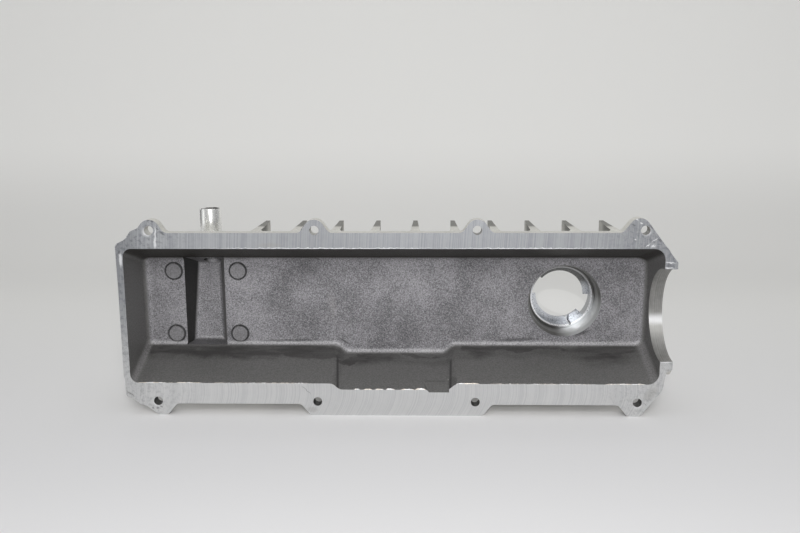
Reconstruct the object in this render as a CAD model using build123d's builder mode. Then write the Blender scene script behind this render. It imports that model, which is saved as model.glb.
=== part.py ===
"""Finned valve cover of a four-cylinder engine with one camshaft.

The cover stands on its long side. Its gasket face is the plane Y = 0 and looks along -Y,
its roof lies deeper, towards +Y, X runs along the engine and Z is up.
The origin is the middle of the bolt pattern, on the gasket face.
"""

import math
import os

from build123d import *

os.makedirs("parts", exist_ok=True)

# Bolt pattern: two rows of four clearance holes
bolt_row_gap = 134.4
outer_bolt_gap = 372.0
inner_bolt_gap = 122.4
bolt_hole_d = 7.0

# Gasket flange: how far its edges lie outside the outer bolts and the bolt rows, or inside them
flange_t = 10.0
left_overhang = 26.4
right_overhang = 25.4
top_inset = 1.9
bottom_overhang = 2.1
stand_overhang = 11.2

# Ears of the flange: the upper ones rise to a round crown, the lower ones stand on a flat one
ear_apex_rise = 14.0
ear_foot_w = 22.4
ear_crown_r = 8.0
stand_corner_r = 5.0
edge_blend_r = 5.0
small_blend_r = 1.2

# Hollow inside: width of the gasket land on each side, and how far each wall leans in to the roof
left_land = 5.4
right_land = 9.6
top_land = 12.1
bottom_land = 16.7
left_draft = 0.7
right_draft = 1.2
top_draft = 14.2
bottom_draft = 18.3
roof_depth = 46.0
left_corner_r = 6.4
right_corner_r = 8.5
roof_blend_r = 6.0

# Cast walls
wall_t = 5.0
roof_t = 4.6
outside_blend_r = 5.0
outside_pocket_r = 5.5

# Pocket in the lower long wall, and the notch in its lip
pocket_x = -1.8
pocket_foot_w = 95.4
pocket_side_slope = 1.1
pocket_bulge = 4.9
pocket_draft = 16.7
pocket_corner_r = 7.0
flange_pocket_w = 134.0
flange_pocket_foot_w = 148.0
notch_left = 25.5
notch_right = 40.9
notch_side_slope = 0.8
notch_bulge = 2.0
notch_depth = 9.0

# Half-round saddle in the right end, for the camshaft's end plug
saddle_z = 1.8
saddle_r = 36.0
saddle_land = 6.4
saddle_wall = 12.4
saddle_boss_r = 48.6
saddle_foot_chamfer = 6.6
saddle_step = 4.4

# Breather duct in the roof, inwards of the left bolts
duct_from_bolt = 29.1
duct_w = 32.6
duct_top_drop = 20.4
duct_bottom_drop = 10.5
duct_side_slope = 0.34
duct_top_slope = 0.37
duct_blend_r = 4.0

# Breather tube, pressed into the end of the duct
tube_from_bolt = 33.0
tube_drop = 13.0
tube_od = 17.0
tube_wall = 1.2
tube_standout = 12.3
tube_seat_inset = 2.0
tube_collar_d = 25.0
tube_collar_h = 15.0
tube_rim_chamfer = 0.3

# Four round pads on the roof for a baffle plate
pad_from_bolt = 30.2
pad_z = 1.1
pad_gap = 52.3
pad_d = 12.8
pad_h = 0.8
pad_groove_w = 0.9
pad_groove_depth = 0.7

# Oil filler neck, inwards of the right bolts
filler_from_bolt = 50.6
filler_z = 2.6
filler_rim_d = 58.8
filler_rim_chamfer_depth = 4.5
filler_throat_d = 56.2
filler_seat_step_d = 53.8
filler_h = 30.5
filler_wall = 5.0
filler_draft = 1.6
filler_edge_chamfer = 1.2

# Bayonet ring, rolled from strip steel and pressed into the filler neck
ring_od = 51.2
ring_wall = 1.3
ring_h = 12.4
ring_sink = 0.6
ring_seat_clear = 1.0
lip_t = 1.5
lip_inner_d = 39.6
notch_angle = 41.0
notch_start = 138.0
split_angle = -73.0
split_w = 0.6

# Fins across the cover, evenly spaced, the first one inwards of the left bolts
fin_count = 10
fin_from_bolt = 79.6
fin_pitch = 30.25
fin_standout = 12.4
fin_root_t = 6.8
fin_tip_t = 3.4
fin_start_rise = 0.8
fin_tip_rise = 0.9
fin_sag = 0.4
fin_foot_flare = 2.2

# Clear overrun of every cutting tool
overrun = 2.0

# Places that follow from the sizes above
outer_x = outer_bolt_gap / 2
inner_x = inner_bolt_gap / 2
bolt_z = bolt_row_gap / 2
left_reach = outer_x + left_overhang
right_reach = outer_x + right_overhang
top_reach = bolt_z - top_inset
bottom_reach = bolt_z + bottom_overhang
stand_reach = bolt_z + stand_overhang
ear_apex_z = bolt_z + ear_apex_rise
mouth_left = left_reach - left_land
mouth_right = right_reach - right_land
mouth_top = top_reach - top_land
mouth_bottom = bottom_reach - bottom_land
roof_top = mouth_top - top_draft
roof_bottom = mouth_bottom - bottom_draft
roof_outside = roof_depth + roof_t
pocket_mouth_reach = mouth_bottom + pocket_bulge
saddle_top = saddle_z + saddle_r + saddle_land
saddle_bottom = saddle_z - saddle_r - saddle_land
duct_x = duct_from_bolt - outer_x
tube_x = tube_from_bolt - outer_x
tube_depth = roof_depth + tube_drop
tube_end_z = top_reach + tube_standout
tube_seat_z = roof_top - tube_seat_inset
tube_collar_z = tube_seat_z + tube_collar_h
passage_foot_z = roof_top - (tube_drop + tube_od / 2) * duct_top_slope
pad_x = pad_from_bolt - outer_x
filler_x = outer_x - filler_from_bolt
filler_end_depth = roof_depth + filler_h
ring_far_depth = filler_end_depth - ring_sink
ring_near_depth = ring_far_depth - ring_h
fin_depth = roof_outside + fin_standout
fin_places = [fin_from_bolt - outer_x + fin_pitch * i for i in range(fin_count)]
filler_axis = Axis((filler_x, 0, filler_z), (0, 1, 0))
filler_plane = Plane(origin=(filler_x, 0, filler_z), x_dir=(1, 0, 0), z_dir=(0, 0, 1))

# Corners of the flange at its left end, as shares of its overhang there and of the ears' height
top_left_shares = ((1.0, -0.555), (0.73, -0.34), (0.54, 0.07), (0.32, 0.23))
bottom_left_shares = ((0.95, -0.66), (0.74, -0.45), (0.57, 0.01), (0.32, 0.29))
# Corner ears, as shares of half an ear's foot from the bolt: apex and foot, or crown and foot
top_left_ear_shares = (0.10, 0.99)
top_right_ear_shares = (-0.36, -1.51)
bottom_left_ear_shares = (0.0, 0.63, 1.31)
bottom_right_ear_shares = (0.21, -0.66, -1.31)


def leaning(depth, reach, draft):
    """How far a wall lies out at a depth, from its reach at the gasket face and its draft."""
    return reach - draft * depth / roof_depth


def upper_ear(x, ear_shares):
    """Apex and inner foot of an ear at one of the two upper corners."""
    apex, foot = (x + share * ear_foot_w / 2 for share in ear_shares)
    return [((apex, ear_apex_z), ear_crown_r), ((foot, top_reach), edge_blend_r)]


def middle_ear(x):
    """Feet and apex of an ear in the middle of the top edge, from left to right."""
    foot = ((x - ear_foot_w / 2, top_reach), edge_blend_r)
    return [foot, *upper_ear(x, (0, 1))]


def lower_ear(x, ear_shares):
    """Crown and inner foot of an ear at one of the two lower corners."""
    crown_out, crown_in, foot = (x + share * ear_foot_w / 2 for share in ear_shares)
    crown = [((at, -stand_reach), stand_corner_r) for at in (crown_out, crown_in)]
    return [*crown, ((foot, -bottom_reach), edge_blend_r)]


def flange_corners():
    """Corners of the flange and their radii, clockwise from the left end's top corner."""
    ear_h, stand_h = ear_apex_z - top_reach, stand_reach - bottom_reach
    top_left = [(-outer_x - a * left_overhang, top_reach + b * ear_h) for a, b in top_left_shares]
    low_left = [(-outer_x - a * left_overhang, -bottom_reach - b * stand_h) for a, b in bottom_left_shares]
    corners = list(zip(top_left, (small_blend_r * 2, edge_blend_r, small_blend_r * 2, edge_blend_r)))
    corners += upper_ear(-outer_x, top_left_ear_shares)
    corners += middle_ear(-inner_x) + middle_ear(inner_x)
    corners += reversed(upper_ear(outer_x, top_right_ear_shares))
    saddle_side = right_reach - saddle_step
    corners += [
        ((right_reach - saddle_step / 2, saddle_top + small_blend_r), small_blend_r / 2),
        ((right_reach, saddle_top - small_blend_r), small_blend_r),
        ((right_reach, saddle_bottom), small_blend_r),
        ((saddle_side, saddle_bottom - saddle_step / 2), small_blend_r),
        ((saddle_side - saddle_step / 2, -mouth_bottom - saddle_step), right_corner_r),
    ]
    corners += lower_ear(outer_x, bottom_right_ear_shares)
    foot, crest = flange_pocket_foot_w / 2, flange_pocket_w / 2
    bulge = [(foot, -bottom_reach), (crest, -stand_reach), (-crest, -stand_reach), (-foot, -bottom_reach)]
    corners += zip(bulge, (edge_blend_r, stand_corner_r, stand_corner_r, edge_blend_r))
    corners += reversed(lower_ear(-outer_x, bottom_left_ear_shares))
    corners += zip(reversed(low_left), (edge_blend_r, edge_blend_r, edge_blend_r, small_blend_r * 2))
    return corners


def drafted_box(near_depth, far_depth, spread):
    """Box between the hollow's four walls at two depths, spread outwards for their outside."""
    near_left, far_left = (leaning(depth, mouth_left, left_draft) + spread for depth in (near_depth, far_depth))
    near_right, far_right = (leaning(depth, mouth_right, right_draft) + spread for depth in (near_depth, far_depth))
    near_top, far_top = (leaning(depth, mouth_top, top_draft) + spread for depth in (near_depth, far_depth))
    near_low, far_low = (leaning(depth, mouth_bottom, bottom_draft) + spread for depth in (near_depth, far_depth))
    with BuildPart() as box:
        with BuildSketch(Plane.XY):
            with BuildLine():
                Polyline(
                    (-near_left, near_depth),
                    (near_right, near_depth),
                    (far_right, far_depth),
                    (-far_left, far_depth),
                    close=True,
                )
            make_face()
        extrude(amount=stand_reach, both=True)
        with BuildSketch(Plane.YZ):
            with BuildLine():
                Polyline(
                    (near_depth, -near_low),
                    (far_depth, -far_low),
                    (far_depth, far_top),
                    (near_depth, near_top),
                    close=True,
                )
            make_face()
        extrude(amount=left_reach, both=True, mode=Mode.INTERSECT)
    return box.part


def pocket_wedge(near_depth, far_depth, spread):
    """Pocket in the lower wall between two depths: its sloping sides follow that wall's lean."""
    foot = pocket_foot_w / 2 + spread * (math.hypot(1, pocket_side_slope) - pocket_side_slope)
    near_wall = leaning(near_depth, mouth_bottom, bottom_draft) + spread
    near_low, far_low = (
        leaning(depth, pocket_mouth_reach, pocket_draft) + spread for depth in (near_depth, far_depth)
    )
    ends = [
        (foot + pocket_bulge * 2 * pocket_side_slope, pocket_bulge * 2 - near_wall),
        (foot - pocket_bulge * 2 * pocket_side_slope, -pocket_bulge * 2 - near_wall),
    ]
    mirrored = [(-x, z) for x, z in reversed(ends)]
    lean = Vector(0, roof_depth, bottom_draft)
    with BuildPart() as wedge:
        with BuildSketch(Plane.XZ.offset(-near_depth)):
            with Locations((pocket_x, 0)):
                Polygon(*ends, *mirrored, align=None)
        extrude(amount=lean.length * (far_depth - near_depth) / roof_depth, dir=lean)
        with BuildSketch(Plane.YZ):
            with BuildLine():
                Polyline(
                    (near_depth, -near_low),
                    (far_depth, -far_low),
                    (far_depth, 0),
                    (near_depth, 0),
                    close=True,
                )
            make_face()
        extrude(amount=left_reach, both=True, mode=Mode.INTERSECT)
    return wedge.part


def uprights(solid):
    """The edges that run from the gasket face to the roof, from left to right."""
    return solid.edges().filter_by(lambda edge: abs((edge @ 1 - edge @ 0).Y) > roof_depth / 2).sort_by(Axis.X)


def cover_body(near_depth, far_depth, spread, pocket_r, roof_edge_r):
    """Drafted box with its pocket, rounded at every upright and then all along the roof."""
    with BuildPart() as body:
        add(drafted_box(near_depth, far_depth, spread))
        add(pocket_wedge(near_depth, far_depth, spread))
        fillet(uprights(body)[2:-2], pocket_r)
        fillet(uprights(body)[:2], left_corner_r + spread)
        fillet(uprights(body)[-2:], right_corner_r + spread)
        fillet(body.faces().sort_by(Axis.Y)[-1].edges(), roof_edge_r)
    return body.part


def duct_solid(spread, front_depth):
    """The duct's wedge, deepest at its upper end, spread outwards for its outside."""
    deepest = roof_depth + duct_top_drop + spread
    shallow = roof_depth + duct_bottom_drop + spread
    front_half = duct_w / 2 + spread + (roof_depth - front_depth) * duct_side_slope
    back_half = duct_w / 2 + spread - (deepest - roof_depth) * duct_side_slope
    front_top = roof_top + spread + (roof_depth - front_depth) * duct_top_slope
    back_top = roof_top + spread - (deepest - roof_depth) * duct_top_slope
    low = -roof_bottom - spread / 2
    with BuildPart() as duct:
        with BuildSketch(Plane.XY):
            with BuildLine():
                Polyline(
                    (duct_x - front_half, front_depth),
                    (duct_x + front_half, front_depth),
                    (duct_x + back_half, deepest),
                    (duct_x - back_half, deepest),
                    close=True,
                )
            make_face()
        extrude(amount=mouth_top * 2, both=True)
        with BuildSketch(Plane.YZ):
            with BuildLine():
                Polyline(
                    (front_depth, front_top),
                    (deepest, back_top),
                    (shallow, low + small_blend_r),
                    (front_depth, low),
                    close=True,
                )
            make_face()
        extrude(amount=left_reach, both=True, mode=Mode.INTERSECT)
        fillet(duct.faces().sort_by(Axis.Y)[-1].edges(), duct_blend_r + spread / 2)
    return duct.part


def fin_set(places, low_edge):
    """Fins that thin out with depth, flared where they leave the flange, from one long edge to the other."""
    middle = (flange_t + fin_depth) / 2
    root, tip = fin_root_t / 2, fin_tip_t / 2
    flare = fin_foot_flare
    top_start, top_tip = top_reach + fin_start_rise, top_reach + fin_tip_rise
    low_start, low_tip = fin_tip_rise - fin_start_rise - low_edge, -low_edge
    with BuildPart() as fins:
        with BuildSketch(Plane.XY):
            for x in places:
                with BuildLine():
                    Line((x + root + flare, flange_t / 2), (x + root + flare, flange_t))
                    RadiusArc((x + root + flare, flange_t), (x + root, flange_t + flare), flare)
                    Polyline(
                        (x + root, flange_t + flare),
                        (x + tip, fin_depth),
                        (x - tip, fin_depth),
                        (x - root, flange_t + flare),
                    )
                    RadiusArc((x - root, flange_t + flare), (x - root - flare, flange_t), flare)
                    Polyline(
                        (x - root - flare, flange_t),
                        (x - root - flare, flange_t / 2),
                        (x + root + flare, flange_t / 2),
                    )
                make_face()
        extrude(amount=stand_reach, both=True)
        with BuildSketch(Plane.YZ):
            with BuildLine():
                Line((flange_t / 2, top_reach), (flange_t, top_reach))
                Line((flange_t, top_reach), (flange_t + flare, top_start))
                ThreePointArc((flange_t + flare, top_start), (middle, top_start - fin_sag / 2), (fin_depth, top_tip))
                Line((fin_depth, top_tip), (fin_depth, low_tip))
                ThreePointArc((fin_depth, low_tip), (middle, low_start + fin_sag / 2), (flange_t / 2, low_start))
                Line((flange_t / 2, low_start), (flange_t / 2, top_reach))
            make_face()
        extrude(amount=left_reach, both=True, mode=Mode.INTERSECT)
    return fins.part


# The hollow with its pocket, and the same form outside the walls and the roof
hollow = cover_body(-overrun, roof_depth, 0, pocket_corner_r, roof_blend_r)
shell = cover_body(0, roof_outside, wall_t, outside_pocket_r, outside_blend_r)

# The notch that widens the pocket's mouth and runs out flush with its wall
with BuildPart() as mouth_notch:
    notch_reach = pocket_mouth_reach + notch_bulge
    notch_slope = (notch_reach - leaning(notch_depth, pocket_mouth_reach, pocket_draft)) / notch_depth
    low, high = -notch_reach - overrun * notch_slope, notch_bulge - mouth_bottom
    with BuildSketch(Plane.XZ.offset(overrun)):
        with BuildLine():
            Polyline(
                (notch_left - notch_side_slope * (low + notch_reach), low),
                (notch_right, low),
                (notch_right, high),
                (notch_left - notch_side_slope * (high + notch_reach), high),
                close=True,
            )
        make_face()
    extrude(amount=-notch_depth - overrun * 2)
    with BuildSketch(Plane.YZ.offset(notch_right)):
        with BuildLine():
            Polyline(
                (-overrun, low),
                (notch_depth + overrun, notch_slope * (notch_depth + overrun) - notch_reach),
                (notch_depth + overrun, high),
                (-overrun, high),
                close=True,
            )
        make_face()
    extrude(amount=-notch_right, mode=Mode.INTERSECT)

# What the filler neck leaves open: chamfered rim, throat, and the seat of the ring
with BuildPart() as filler_bore:
    with BuildSketch(filler_plane):
        with BuildLine():
            Polyline(
                (0, roof_depth - roof_blend_r),
                (filler_rim_d / 2, roof_depth - roof_blend_r),
                (filler_rim_d / 2, roof_depth),
                (filler_throat_d / 2, roof_depth + filler_rim_chamfer_depth),
                (filler_seat_step_d / 2, ring_near_depth - ring_seat_clear),
                (ring_od / 2, ring_near_depth - ring_seat_clear),
                (ring_od / 2, filler_end_depth + overrun),
                (0, filler_end_depth + overrun),
                close=True,
            )
        make_face()
    revolve(axis=filler_axis)

# Outside of the filler neck, drafted towards its end
with BuildPart() as filler_neck:
    neck_foot_r = filler_rim_d / 2 + filler_wall
    with BuildSketch(filler_plane):
        with BuildLine():
            Polyline(
                (0, roof_depth),
                (neck_foot_r, roof_depth),
                (neck_foot_r - filler_draft, filler_end_depth),
                (0, filler_end_depth),
                close=True,
            )
        make_face()
    revolve(axis=filler_axis)
    chamfer(filler_neck.faces().sort_by(Axis.Y)[-1].edges(), filler_edge_chamfer)

# Thick half disc round the saddle, chamfered at its two feet
with BuildPart() as saddle_boss:
    with BuildSketch(Plane.YZ.offset(right_reach - saddle_wall)):
        with Locations((0, saddle_z)):
            Circle(saddle_boss_r)
        with Locations((-saddle_boss_r, saddle_z)):
            Rectangle(saddle_boss_r * 2, saddle_boss_r * 2 + overrun, mode=Mode.SUBTRACT)
        with Locations((0, saddle_top)):
            Rectangle(saddle_boss_r * 2, saddle_boss_r, align=(Align.CENTER, Align.MIN), mode=Mode.SUBTRACT)
    extrude(amount=saddle_wall)
    chamfer(saddle_boss.edges().filter_by(Axis.X).group_by(Axis.Y)[0], saddle_foot_chamfer)

# Walls of the duct, and its hollow
duct_shell = duct_solid(wall_t, roof_depth)
duct_hollow = duct_solid(0, roof_depth - overrun)

# Fins: those over the pocket reach down as far as it does, so that the cover stands on them
low_fins = fin_set([x for x in fin_places if abs(x) < flange_pocket_w / 2], stand_reach)
side_fins = fin_set([x for x in fin_places if abs(x) >= flange_pocket_w / 2], bottom_reach + fin_tip_rise)

# The casting
flange_points, flange_radii = zip(*flange_corners())
with BuildPart() as casting:
    # Gasket flange with its eight ears
    with BuildSketch(Plane.XZ):
        with BuildLine():
            FilletPolyline(*flange_points, radius=flange_radii, close=True)
        make_face()
    extrude(amount=-flange_t)

    # Walls, roof, duct, saddle, fins and filler neck, all cast in one
    add([shell, duct_shell, saddle_boss.part])
    add([low_fins, side_fins, filler_neck.part])

    # Collar that takes the breather tube
    with BuildSketch(Plane.XY.offset(tube_seat_z)):
        with Locations((tube_x, tube_depth)):
            Circle(tube_collar_d / 2)
    extrude(amount=tube_collar_z - tube_seat_z)

    # Hollow inside, with the pocket, the duct and the filler bore
    add([hollow, mouth_notch.part], mode=Mode.SUBTRACT)
    add([duct_hollow, filler_bore.part], mode=Mode.SUBTRACT)

    # Seat of the tube, and the smaller passage from it into the duct
    with BuildSketch(Plane.XY.offset(tube_seat_z)):
        with Locations((tube_x, tube_depth)):
            Circle(tube_od / 2)
    extrude(amount=tube_end_z - tube_seat_z, mode=Mode.SUBTRACT)
    with BuildSketch(Plane.XY.offset(passage_foot_z)):
        with Locations((tube_x, tube_depth)):
            Circle(tube_od / 2 - tube_wall)
    extrude(amount=tube_seat_z - passage_foot_z, mode=Mode.SUBTRACT)

    # Saddle bore through the right end
    with BuildSketch(Plane.YZ.offset(right_reach - saddle_wall * 2)):
        with Locations((0, saddle_z)):
            Circle(saddle_r)
    extrude(amount=saddle_wall * 2 + overrun, mode=Mode.SUBTRACT)

    # Eight bolt holes, the two rows alike
    with BuildSketch(Plane.XZ):
        with GridLocations(outer_bolt_gap, bolt_row_gap, 2, 2):
            Circle(bolt_hole_d / 2)
        with GridLocations(inner_bolt_gap, bolt_row_gap, 2, 2):
            Circle(bolt_hole_d / 2)
    extrude(amount=-flange_t - overrun * 2, mode=Mode.SUBTRACT)

    # Baffle pads: a fine groove round each, and the pad a little proud of the roof
    with BuildSketch(Plane.XZ.offset(-roof_depth)):
        with Locations((pad_x, pad_z)):
            with GridLocations(pad_gap, pad_gap, 2, 2):
                Circle(pad_d / 2 + pad_groove_w)
                Circle(pad_d / 2, mode=Mode.SUBTRACT)
    extrude(amount=-pad_groove_depth, mode=Mode.SUBTRACT)
    with BuildSketch(Plane.XZ.offset(-roof_depth)):
        with Locations((pad_x, pad_z)):
            with GridLocations(pad_gap, pad_gap, 2, 2):
                Circle(pad_d / 2)
    extrude(amount=pad_h)

casting.part.label = "cover_casting"
export_step(casting.part, "parts/cover_casting.step")

# Breather tube: seamless, pressed to the bottom of its seat, its rim cut square
with BuildPart() as tube:
    with BuildSketch(Plane.XY.offset(tube_seat_z)):
        with Locations((tube_x, tube_depth)):
            Circle(tube_od / 2)
            Circle(tube_od / 2 - tube_wall, mode=Mode.SUBTRACT)
    extrude(amount=tube_end_z - tube_seat_z)
    chamfer(tube.faces().sort_by(Axis.Z)[-1].edges(), tube_rim_chamfer)

tube.part.label = "breather_tube"
export_step(tube.part, "parts/breather_tube.step")

# Bayonet ring: rolled wall with two lips turned in at its far end, open at the butt of the strip
with BuildPart() as ring:
    inner_r = ring_od / 2 - ring_wall
    with BuildSketch(filler_plane):
        with BuildLine():
            Polyline(
                (inner_r, ring_near_depth),
                (ring_od / 2, ring_near_depth),
                (ring_od / 2, ring_far_depth),
                (lip_inner_d / 2, ring_far_depth),
                (lip_inner_d / 2, ring_far_depth - lip_t),
                (inner_r, ring_far_depth - lip_t),
                close=True,
            )
        make_face()
    revolve(axis=filler_axis)

    # Two notches that let the cap's tongues in, opposite each other
    ring_face = Plane(origin=(filler_x, ring_near_depth, filler_z), x_dir=(1, 0, 0), z_dir=(0, -1, 0))
    with BuildSketch(ring_face):
        for start in (notch_start, notch_start + 180):
            with BuildLine():
                PolarLine((0, 0), inner_r, start)
                CenterArc((0, 0), inner_r, start, notch_angle)
                PolarLine((0, 0), inner_r, start + notch_angle)
            make_face()
    extrude(amount=-(ring_far_depth - ring_near_depth), mode=Mode.SUBTRACT)

    # The butt of the rolled strip
    with BuildSketch(ring_face):
        with PolarLocations(0, 1, split_angle):
            with Locations((ring_od / 2, 0)):
                Rectangle(ring_od / 2, split_w)
    extrude(amount=-(ring_far_depth - ring_near_depth), mode=Mode.SUBTRACT)

ring.part.label = "filler_ring"
export_step(ring.part, "parts/filler_ring.step")
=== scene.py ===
"""Looks of a cast aluminium valve cover that stands on its long side, with the hollow towards the camera."""

import math
import random

import bpy
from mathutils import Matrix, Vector


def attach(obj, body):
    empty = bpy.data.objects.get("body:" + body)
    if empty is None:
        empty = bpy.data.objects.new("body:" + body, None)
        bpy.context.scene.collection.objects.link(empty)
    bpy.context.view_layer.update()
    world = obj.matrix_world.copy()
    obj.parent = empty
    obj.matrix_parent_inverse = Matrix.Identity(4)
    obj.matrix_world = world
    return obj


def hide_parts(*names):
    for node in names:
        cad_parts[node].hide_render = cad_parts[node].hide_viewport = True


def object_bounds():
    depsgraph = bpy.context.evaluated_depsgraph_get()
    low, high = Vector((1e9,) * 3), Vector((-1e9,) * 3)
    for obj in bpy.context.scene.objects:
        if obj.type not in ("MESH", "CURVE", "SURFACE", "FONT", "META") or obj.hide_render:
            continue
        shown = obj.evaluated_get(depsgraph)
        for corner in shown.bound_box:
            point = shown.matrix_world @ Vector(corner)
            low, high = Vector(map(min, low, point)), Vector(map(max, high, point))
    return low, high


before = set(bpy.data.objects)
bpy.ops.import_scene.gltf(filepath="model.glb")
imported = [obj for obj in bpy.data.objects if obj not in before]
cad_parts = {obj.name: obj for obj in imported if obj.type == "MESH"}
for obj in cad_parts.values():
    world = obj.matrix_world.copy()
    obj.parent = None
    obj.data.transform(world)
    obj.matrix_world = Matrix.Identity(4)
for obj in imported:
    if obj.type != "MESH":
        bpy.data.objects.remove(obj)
cad_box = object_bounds()
scene = bpy.context.scene
scene.view_settings.view_transform = "Standard"

# Camera. It stands in front of the gasket face, a little above the cover and looking down on it.
# Its place and turn come from the eight bolt holes, which lie in one plane.
CAMERA_PLACE = (0.01853, -0.63709, 0.16101)
CAMERA_TURN_DEG = (79.229, 0.213, 1.332)
CAMERA_LENS_MM = 38.745
camera_data = bpy.data.cameras.new("camera")
camera_data.lens = CAMERA_LENS_MM
camera_data.clip_start = 0.01
camera_data.clip_end = 20
camera = bpy.data.objects.new("camera", camera_data)
camera.location = CAMERA_PLACE
camera.rotation_euler = [math.radians(turn) for turn in CAMERA_TURN_DEG]
scene.collection.objects.link(camera)
scene.camera = camera


# The cover: one aluminium casting, sand-grey and speckled as it left the mould, lighter outside, in part
# by painted reflection. The gasket face, the end arch, the bolt holes and the filler bore are cut bright
# afterwards, and carry painted highlights and shade.
class Finish:
    """Short words for the nodes of one finish."""

    def __init__(self, name):
        self.material = bpy.data.materials.new(name)
        self.material.use_nodes = True
        self.tree = self.material.node_tree
        self.shader = self.tree.nodes["Principled BSDF"]
        where = self.tree.nodes.new("ShaderNodeTexCoord")
        self.place = where.outputs["Object"]
        self.x, self.y, self.z = self.split(self.place)

    def split(self, vector):
        node = self.tree.nodes.new("ShaderNodeSeparateXYZ")
        self.put(node.inputs[0], vector)
        return node.outputs

    def put(self, socket, value):
        if isinstance(value, bpy.types.NodeSocket):
            self.tree.links.new(value, socket)
        else:
            socket.default_value = value

    def math(self, operation, *values):
        node = self.tree.nodes.new("ShaderNodeMath")
        node.operation = operation
        for socket, value in zip(node.inputs, values):
            self.put(socket, value)
        return node.outputs[0]

    def chain(self, operation, first, *others):
        for other in others:
            first = self.math(operation, first, other)
        return first

    def times(self, *values):
        return self.chain("MULTIPLY", *values)

    def plus(self, *values):
        return self.chain("ADD", *values)

    def most(self, *values):
        return self.chain("MAXIMUM", *values)

    def minus(self, value, other):
        return self.math("SUBTRACT", value, other)

    def size(self, value):
        return self.math("ABSOLUTE", value)

    def gap(self, value, other):
        return self.size(self.minus(value, other))

    def below(self, value, limit):
        return self.math("LESS_THAN", value, limit)

    def above(self, value, limit):
        return self.math("GREATER_THAN", value, limit)

    def radius(self, across, up):
        return self.math("SQRT", self.plus(self.times(across, across), self.times(up, up)))

    def ramp(self, value, low, high, start=0.0, end=1.0):
        node = self.tree.nodes.new("ShaderNodeMapRange")
        node.interpolation_type = "SMOOTHSTEP"
        for socket, item in zip(node.inputs, (value, low, high, start, end)):
            self.put(socket, item)
        return node.outputs[0]

    def mix(self, share, one, other):
        node = self.tree.nodes.new("ShaderNodeMix")
        node.data_type = "RGBA"
        self.put(node.inputs["Factor"], share)
        self.put(node.inputs[6], one)
        self.put(node.inputs[7], other)
        return node.outputs[2]

    def tint(self, colour, cover, share, other):
        return self.mix(self.times(cover, share), colour, other)

    def blend(self, share, one, other):
        node = self.tree.nodes.new("ShaderNodeMix")
        self.put(node.inputs[0], share)
        self.put(node.inputs[2], one)
        self.put(node.inputs[3], other)
        return node.outputs[0]

    def vector(self, operation, *values):
        node = self.tree.nodes.new("ShaderNodeVectorMath")
        node.operation = operation
        for socket, value in zip(node.inputs, values):
            self.put(socket, value)
        return node.outputs["Value" if operation == "LENGTH" else "Vector"]

    def noise(self, scale, detail=2.0, rough=0.5, vector=None, output="Fac"):
        node = self.tree.nodes.new("ShaderNodeTexNoise")
        self.put(node.inputs["Vector"], self.place if vector is None else vector)
        node.inputs["Scale"].default_value = scale
        node.inputs["Detail"].default_value = detail
        node.inputs["Roughness"].default_value = rough
        return node.outputs[output]

    def sway(self, scale, detail, rough, reach):
        """An offset that wanders from place to place, to both sides."""
        wander = self.vector("SUBTRACT", self.noise(scale, detail, rough, output="Color"), (0.5, 0.5, 0.5))
        return self.vector("MULTIPLY", wander, reach)

    def stripes(self, run, scale, detail=3.0):
        node = self.tree.nodes.new("ShaderNodeTexNoise")
        node.noise_dimensions = "1D"
        self.put(node.inputs["W"], run)
        node.inputs["Scale"].default_value = scale
        node.inputs["Detail"].default_value = detail
        return node.outputs["Fac"]

    def spots(self, place, table, depth, soft):
        """Cover of oval spots: each is x, z, half length, half width in mm, and its turn in degrees."""
        cover = None
        for x, z, length, width, turn in table:
            node = self.tree.nodes.new("ShaderNodeMapping")
            node.vector_type = "TEXTURE"
            self.put(node.inputs["Vector"], place)
            node.inputs["Location"].default_value = (x / 1000, depth, z / 1000)
            node.inputs["Rotation"].default_value = (0, -math.radians(turn), 0)
            node.inputs["Scale"].default_value = (length / 1000, SPOT_REACH, width / 1000)
            spot = self.ramp(self.vector("LENGTH", node.outputs[0]), 1.0, soft, 0.0, 1.0)
            cover = spot if cover is None else self.most(cover, spot)
        return cover

    def bump(self, height, distance, strength, onto=None):
        node = self.tree.nodes.new("ShaderNodeBump")
        node.inputs["Strength"].default_value = strength
        node.inputs["Distance"].default_value = distance
        self.put(node.inputs["Height"], height)
        if onto is not None:
            self.put(node.inputs["Normal"], onto)
        return node.outputs[0]


SPOT_REACH = 0.012
FACE_DEPTH = 0.00005
ROOF_DEPTH, ROOF_BACK_DEPTH, MIDDLE_DEPTH = 0.046, 0.0503, 0.02
MOUTH_TOP_Z, UPPER_WALL_LEAN, UPPER_WALL_MIDDLE = 0.0532, 0.309, 0.003
cast = Finish("cast_aluminium")
geometry = cast.tree.nodes.new("ShaderNodeNewGeometry")
face_x, face_y, face_z = cast.split(geometry.outputs["True Normal"])
ragged = cast.vector("ADD", cast.place, cast.sway(380, 3.0, 0.5, (0.0022, 0.0022, 0.0022)))

# Speckle of the sand-cast roof, with larger lighter and darker clouds
ROOF_LIGHT = (0.49, 0.48, 0.50, 1)
ROOF_DARK = (0.12, 0.118, 0.124, 1)
ROOF_MIDDLE_X, ROOF_END_START, ROOF_END_FULL = 0.02, 0.10, 0.16
grain = cast.noise(1050, detail=2.5, rough=0.75)
clouds = cast.noise(26, detail=4.0, rough=0.62)
lighter_ends = cast.ramp(cast.gap(cast.x, ROOF_MIDDLE_X), ROOF_END_START, ROOF_END_FULL, 0.0, 0.045)
speckle = cast.plus(grain, cast.times(clouds, 0.50), lighter_ends)
roof = cast.mix(cast.ramp(speckle, 0.50, 1.08), ROOF_DARK, ROOF_LIGHT)
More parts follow.
